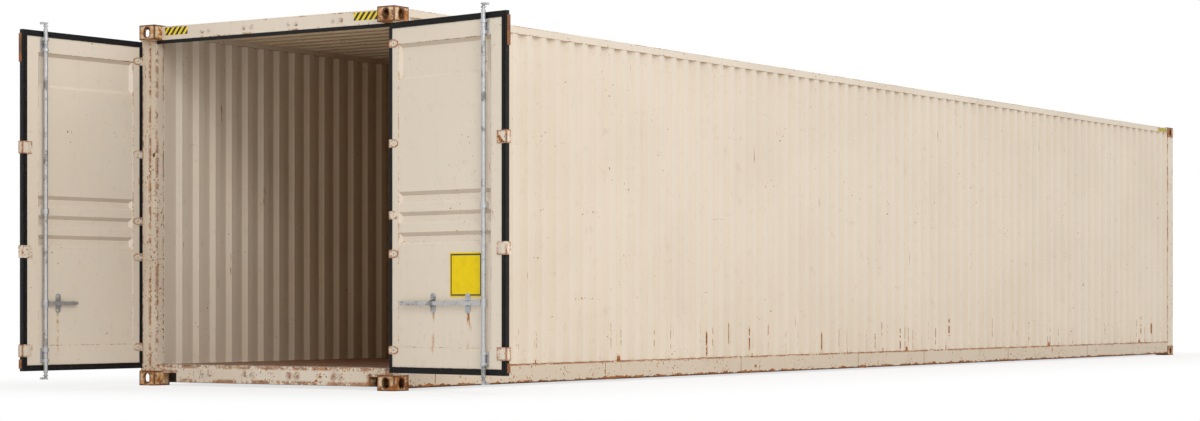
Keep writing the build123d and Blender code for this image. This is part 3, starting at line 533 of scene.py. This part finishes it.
def dress_nodes():
    for name, node in NODES.items():
        material = MATERIALS[finish_for(name)]
        if not node.material_slots:
            node.data.materials.append(material)
        for slot in node.material_slots:
            slot.material = material


def new_piece(name, fill, material, body, place=None):
    """A piece whose mesh is filled by a function, moved to its place and riding on a body."""
    mesh = bpy.data.meshes.new(name)
    bm = bmesh.new()
    fill(bm)
    if place is not None:
        bm.transform(place)
    bmesh.ops.recalc_face_normals(bm, faces=bm.faces)
    bm.to_mesh(mesh)
    bm.free()
    piece = bpy.data.objects.new(name, mesh)
    bpy.context.scene.collection.objects.link(piece)
    mesh.materials.append(MATERIALS[material])
    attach(piece, body)
    return piece


def slab(bm, low, high, cut=0.001):
    """A box with its edges taken off."""
    size = [b - a for a, b in zip(low, high)]
    middle = [(a + b) / 2 for a, b in zip(low, high)]
    place = Matrix.Translation(middle) @ Matrix.Diagonal((*size, 1.0))
    made = bmesh.ops.create_cube(bm, size=1.0, matrix=place)
    edges = {edge for vert in made["verts"] for edge in vert.link_edges}
    bmesh.ops.bevel(bm, geom=list(edges), offset=cut, segments=1, affect="EDGES")


def turned(bm, place, profile, segments):
    """A closed round or many-sided body from (radius, height) steps about its own Z."""
    rings = []
    for radius, height in profile:
        ring = []
        for index in range(segments):
            angle = 2 * math.pi * index / segments
            corner = Vector((radius * math.cos(angle), radius * math.sin(angle), height))
            ring.append(bm.verts.new(place @ corner))
        rings.append(ring)
    for lower, upper in zip(rings, rings[1:]):
        for index in range(segments):
            after = (index + 1) % segments
            bm.faces.new((lower[index], lower[after], upper[after], upper[index]))
    bm.faces.new(rings[0])
    bm.faces.new(rings[-1])


def facing(x, y, z, side, turn=0.0):
    """A place whose own Z looks along +Y (side 1) or -Y (side -1)."""
    return (Matrix.Translation((x, y, z)) @ Matrix.Rotation(math.radians(-90.0 * side), 4, "X")
            @ Matrix.Rotation(turn, 4, "Z"))


def bolt(bm, place, radius):
    """A hexagon head with its corners eased, on a round washer."""
    turned(bm, place, [(radius * 1.25, -0.0004), (radius * 1.25, 0.0012), (radius * 1.1, 0.0018)], 14)
    spun = place @ Matrix.Rotation(random.uniform(0.0, math.pi), 4, "Z")
    turned(bm, spun, [(radius, 0.0015), (radius, 0.0052), (radius * 0.8, 0.0064)], 6)


def round_head(bm, place, radius, height):
    """A domed head."""
    turned(bm, place, [(radius, -0.0003), (radius, height * 0.35), (radius * 0.84, height * 0.75),
                       (radius * 0.45, height)], 12)


def bead(bm, start, end, radius):
    """A weld bead of uneven ripples between two points."""
    start, end = Vector(start), Vector(end)
    axis = (end - start).normalized()
    side = axis.orthogonal().normalized()
    other = axis.cross(side)
    steps = max(4, int((end - start).length / 0.008))
    rings = []
    for index in range(steps + 1):
        swell = radius * (0.75 + 0.25 * math.cos(index * 2.1) + random.uniform(-0.12, 0.12))
        if index in (0, steps):
            swell *= 0.4
        middle = start.lerp(end, index / steps)
        rings.append([
            bm.verts.new(middle + swell * (math.cos(a) * side + math.sin(a) * other))
            for a in (math.tau * k / 6 for k in range(6))
        ])
    for lower, upper in zip(rings, rings[1:]):
        for index in range(6):
            after = (index + 1) % 6
            bm.faces.new((lower[index], lower[after], upper[after], upper[index]))
    bm.faces.new(rings[0])
    bm.faces.new(rings[-1])


def lock_bolts(side):
    """Bolts of the rod brackets and the hasps of one leaf."""
    def fill(bm):
        low = box_of(f"{side}_frame")[0].z
        high = box_of(f"{side}_frame")[1].z
        for middle in (low + 0.075, high - 0.06):
            for dx in (-0.0305, 0.0305):
                for dz in (-0.038, 0.038):
                    bolt(bm, facing(ROD_X + dx, LEAF_INNER + 0.006, middle + dz, 1), 0.0048)
        for hasp in HASPS[side]:
            for dz in (-0.054, 0.054):
                place = facing(ROD_X + hasp, PANEL_FACE + 0.005, HANDLE_Z + dz, 1)
                turned(bm, place, [(0.017, -0.0004), (0.017, 0.0018), (0.0145, 0.0026)], 18)
                bolt(bm, place @ Matrix.Translation((0, 0, 0.002)), 0.009)
    new_piece(f"{side}_lock_bolts", fill, "zinc", f"{side}_door", leaf_place(side))


def clip_rivets(side):
    """Domed rivets on the tongues of the edge clips and on the hinge blades' plates."""
    def fill(bm):
        low, high = box_of(f"{side}_gasket")[0].z, box_of(f"{side}_gasket")[1].z
        for share in CLIP_SHARES:
            z = low + share * (high - low)
            for dz in (-0.03, 0.03):
                round_head(bm, facing(0.101, LEAF_INNER + 0.004, z + dz, 1), 0.006, 0.003)
        for share in HINGE_SHARES:
            z = low + share * (high - low)
            for dx, dz in ((-0.022, -0.016), (-0.022, 0.016), (-0.05, 0.0)):
                round_head(bm, facing(BLADE_END_X + dx, LEAF_INNER + 0.005, z + dz, 1), 0.0055, 0.003)
    new_piece(f"{side}_rivets", fill, "clip", f"{side}_door", leaf_place(side))


def edge_strips(side):
    """Rusted steel strips that show behind the rubber at the ends of the leaf's free edge."""
    def fill(bm):
        low, high = box_of(f"{side}_gasket")[0].z, box_of(f"{side}_gasket")[1].z
        for z0, z1 in ((high - 0.25, high - 0.03), (low + 0.02, low + 0.09)):
            slab(bm, (0.0095, LEAF_OUTER - 0.003, z0), (0.0155, LEAF_INNER - 0.004, z1), 0.0012)
            slab(bm, (0.0155, LEAF_OUTER - 0.003, z0 + 0.01), (0.10, LEAF_OUTER, z1 - 0.01), 0.001)
    new_piece(f"{side}_edge_strips", fill, "scar", f"{side}_door", leaf_place(side))


def yellow_plate():
    """The bare yellow plate beside the right rod, with its black border line."""
    x0, x1, z0, z1 = 0.271, 0.611, 0.705, 1.030
    face = PANEL_FACE

    def sheet(bm):
        slab(bm, (x0, face - 0.0005, z0), (x1, face + 0.0012, z1), 0.0005)

    def border(bm):
        gap, line = 0.010, 0.011
        a0, a1, c0, c1 = x0 + gap, x1 - gap, z0 + gap, z1 - gap
        rim = face + 0.0016
        slab(bm, (a0, face, c0), (a1, rim, c0 + line), 0.0003)
        slab(bm, (a0, face, c1 - line), (a1, rim, c1), 0.0003)
        slab(bm, (a0, face, c0 + line), (a0 + line, rim, c1 - line), 0.0003)
        slab(bm, (a1 - line, face, c0 + line), (a1, rim, c1 - line), 0.0003)

    place = leaf_place("right")
    new_piece("height_plate", sheet, "plate", "right_door", place)
    new_piece("height_plate_border", border, "black", "right_door", place)


def hazard_strips():
    """Striped strips on the header's ends and on the roof rails' far ends."""
    top = box_of("door_header")[1].z

    def header(bm):
        for x0, x1 in ((-CASTING_INNER_X + 0.03, -CASTING_INNER_X + 0.27),
                       (CASTING_INNER_X - 0.30, CASTING_INNER_X - 0.015)):
            slab(bm, (x0, HEADER_FACE - 0.0012, top - 0.070), (x1, HEADER_FACE + 0.001, top - 0.008), 0.0004)

    def rails(bm):
        high = box_of("top_rail_right")[1]
        for x in (high.x, -high.x):
            slab(bm, (x - 0.0012, high.y - 0.33, high.z - 0.052),
                 (x + 0.0012, high.y - 0.02, high.z - 0.006), 0.0004)

    new_piece("header_stripes", header, "hazard", "container")
    new_piece("rail_stripes", rails, "hazard", "container")


def keeper_heads():
    """Worn steel heads in the keeper bosses of the header and the sill."""
    def fill(bm):
        header_z = (box_of("door_header")[0].z + box_of("door_header")[1].z) / 2 - 0.004
        sill_z = (box_of("door_sill")[0].z + box_of("door_sill")[1].z) / 2
        for z in (header_z, sill_z):
            for middle in KEEPERS:
                for dx in (-0.038, 0.038):
                    place = facing(middle + dx, HEADER_FACE - 0.012, z, -1)
                    turned(bm, place, [(0.0105, -0.0003), (0.0105, 0.0008), (0.008, 0.0018)], 16)
    new_piece("keeper_heads", fill, "zinc", "container")


def floor_boards():
    """Plywood sheets with open joints and rows of countersunk screws, in place of the plain floor."""
    low, high = box_of("floor")
    gap, columns = 0.003, 2
    post_y = box_of("end_post_right")[0].y - 0.001
    rows = 13
    width = (high.x - low.x) / columns
    depth = (post_y - low.y) / rows

    def boards(bm):
        for column in range(columns):
            for row in range(rows):
                x0 = low.x + column * width + (gap / 2 if column else 0.0)
                x1 = low.x + (column + 1) * width - (0.0 if column else gap / 2)
                y0, y1 = low.y + row * depth, low.y + (row + 1) * depth - gap
                sag = random.uniform(0.0, 0.0008)
                slab(bm, (x0, y0, low.z), (x1, y1, high.z - sag), 0.0015)
        slab(bm, (-CASTING_INNER_X + 0.001, post_y, low.z), (CASTING_INNER_X - 0.001, high.y, high.z), 0.0015)

    def screws(bm):
        y = low.y + 0.03
        step = (high.y - low.y - 0.2) / 52
        for row in range(52):
            for x in (-1.15, -0.78, -0.41, -0.04, 0.04, 0.41, 0.78, 1.15):
                place = Matrix.Translation((x, y + row * step, high.z - 0.0014))
                turned(bm, place, [(0.0075, 0.0), (0.0075, 0.0012), (0.003, 0.0008)], 8)

    made = new_piece("floor_boards", boards, "boards", "container")
    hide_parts("floor")
    new_piece("floor_screws", screws, "scar", "container")


def weld_beads():
    """Beads where posts and rails meet the castings, and the seams of the floor rails."""
    def joints(bm):
        top, foot = box_of("casting_top_door_right")[0].z, box_of("casting_bottom_door_right")[1].z
        post = box_of("door_post_right")[1].x - 0.0015
        rail = box_of("bottom_rail_right")[1].x
        header_low, header_high = box_of("door_header")[0].z, box_of("door_header")[1].z
        for side in (-1, 1):
            for z in (top - 0.001, foot + 0.001):
                bead(bm, (side * post, DOOR_Y + 0.012, z), (side * post, CASTING_BACK_Y - 0.004, z), 0.0035)
                bead(bm, (side * post, -DOOR_Y - 0.008, z), (side * post, -CASTING_BACK_Y + 0.004, z), 0.0035)
                bead(bm, (side * (post - 0.022), HEADER_FACE - 0.001, z),
                     (side * (post - 0.09), HEADER_FACE - 0.001, z), 0.003)
            inner = side * (CASTING_INNER_X - 0.001)
            bead(bm, (inner, HEADER_FACE - 0.001, header_low + 0.004),
                 (inner, HEADER_FACE - 0.001, header_high - 0.004), 0.003)
            for y in (CASTING_BACK_Y + 0.001, -CASTING_BACK_Y - 0.001):
                bead(bm, (side * rail, y, 0.02), (side * rail, y, foot - 0.004), 0.0035)

    def seams(bm):
        rail, low, high = (box_of("bottom_rail_right")[1].x, box_of("bottom_rail_right")[0].z,
                           box_of("bottom_rail_right")[1].z)
        for side in (-1, 1):
            for y in RAIL_SEAMS:
                bead(bm, (side * rail, y, low + 0.004), (side * rail, y, high - 0.003), 0.0032)
                bead(bm, (side * rail, y - 0.02, low + 0.012), (side * rail, y + 0.16, low + 0.006), 0.010)

    new_piece("weld_joints", joints, "bead", "container")
    new_piece("rail_seams", seams, "scar", "container")


def rust_lumps():
    """Flaking scabs of rust along the foot of both side walls."""
    def fill(bm):
        wall = box_of("side_wall_right")[1].x
        for side in (-1, 1):
            for _ in range(70):
                y = random.uniform(-7.6, 7.8)
                z = WALL_FOOT + 0.001
                width = random.uniform(0.006, 0.02)
                tall = random.uniform(0.002, 0.005)
                place = (Matrix.Translation((side * (wall - 0.004), y, z + tall / 2))
                         @ Matrix.Rotation(random.uniform(-0.5, 0.5), 4, "Z")
                         @ Matrix.Diagonal((0.006, width, tall, 1.0)))
                made = bmesh.ops.create_icosphere(bm, subdivisions=1, radius=0.5, matrix=place)
                for vert in made["verts"]:
                    vert.co += Vector([random.uniform(-0.0008, 0.0008) for _ in range(3)])
    new_piece("rust_scabs", fill, "scar", "container")


def ground_finish():
    """White ground: it takes soft shadows near the container and fades to the backdrop."""
    s = Shader("ground_white", roughness=0.9)
    s.done((0.90, 0.90, 0.905))
    x, y, _ = s.axes()
    off_x = s.math("MAXIMUM", s.math("SUBTRACT", s.math("ABSOLUTE", x), 1.5), 0.0)
    off_y = s.math("MAXIMUM", s.math("SUBTRACT", s.math("ABSOLUTE", y), 8.4), 0.0)
    away = s.math("SQRT", s.math("ADD", s.math("MULTIPLY", off_x, off_x), s.math("MULTIPLY", off_y, off_y)))
    seen = s.node("ShaderNodeLightPath").outputs["Is Camera Ray"]
    fade = s.math("MULTIPLY", seen, s.band(away, 0.1, 2.6, 0.72, 1.0))
    white = s.node("ShaderNodeEmission", {"Color": (1.0, 1.0, 1.0)})
    blend = s.node("ShaderNodeMixShader", {0: fade, 1: s.bsdf.outputs[0], 2: white.outputs[0]})
    output = next(node for node in s.tree.nodes if node.type == "OUTPUT_MATERIAL")
    s.tree.links.new(blend.outputs[0], output.inputs["Surface"])
    return s.material


def stage():
    """Pale floor, even white light and the backdrop."""
    mesh = bpy.data.meshes.new("ground")
    mesh.from_pydata([(-90, -90, 0), (90, -90, 0), (90, 90, 0), (-90, 90, 0)], [], [(0, 1, 2, 3)])
    ground = bpy.data.objects.new("ground", mesh)
    bpy.context.scene.collection.objects.link(ground)
    ground.location.z = -0.001
    mesh.materials.append(ground_finish())

    world = bpy.data.worlds.new("studio")
    bpy.context.scene.world = world
    world.use_nodes = True
    tree = world.node_tree
    back = tree.nodes["Background"]
    path = tree.nodes.new("ShaderNodeLightPath")
    level = tree.nodes.new("ShaderNodeMapRange")
    level.inputs["To Min"].default_value = 0.80
    level.inputs["To Max"].default_value = 1.0
    either = tree.nodes.new("ShaderNodeMath")
    either.operation = "MAXIMUM"
    tree.links.new(path.outputs["Is Camera Ray"], either.inputs[0])
    tree.links.new(path.outputs["Is Glossy Ray"], either.inputs[1])
    tree.links.new(either.outputs[0], level.inputs[0])
    back.inputs[0].default_value = (1.0, 1.0, 1.0, 1.0)
    tree.links.new(level.outputs[0], back.inputs[1])


def lamp(name, place, target, size, power):
    """A round soft light that shines from its place towards a target."""
    data = bpy.data.lights.new(name, "AREA")
    data.shape = "DISK"
    data.size = size
    data.energy = power
    data.color = (1.0, 0.985, 0.96)
    item = bpy.data.objects.new(name, data)
    item.location = place
    item.rotation_euler = (Vector(target) - Vector(place)).to_track_quat("-Z", "Y").to_euler()
    bpy.context.scene.collection.objects.link(item)


def camera():
    data = bpy.data.cameras.new("camera")
    data.sensor_width = SENSOR
    data.lens = FOCAL_PIXELS * SENSOR / PICTURE_W
    data.shift_y = (HORIZON_ROW - PICTURE_H / 2) / PICTURE_W
    data.clip_end = 400.0
    item = bpy.data.objects.new("camera", data)
    item.location = CAMERA_PLACE
    item.rotation_euler = (math.radians(90.0), 0.0, CAMERA_TURN)
    bpy.context.scene.collection.objects.link(item)
    bpy.context.scene.camera = item


dress_nodes()
for side in ("left", "right"):
    lock_bolts(side)
    clip_rivets(side)
    edge_strips(side)
yellow_plate()
hazard_strips()
keeper_heads()
floor_boards()
weld_beads()
rust_lumps()
camera()
stage()
lamp("key", (17.0, -20.0, 14.0), (0.0, -7.0, 1.2), 8.0, 920.0)
lamp("fill", (12.0, -14.0, 5.0), (-1.2, -8.0, 1.4), 4.0, 180.0)
lamp("side", (22.0, 4.0, 12.0), (0.0, 2.0, 1.0), 10.0, 500.0)
bpy.context.scene.view_settings.view_transform = "Standard"
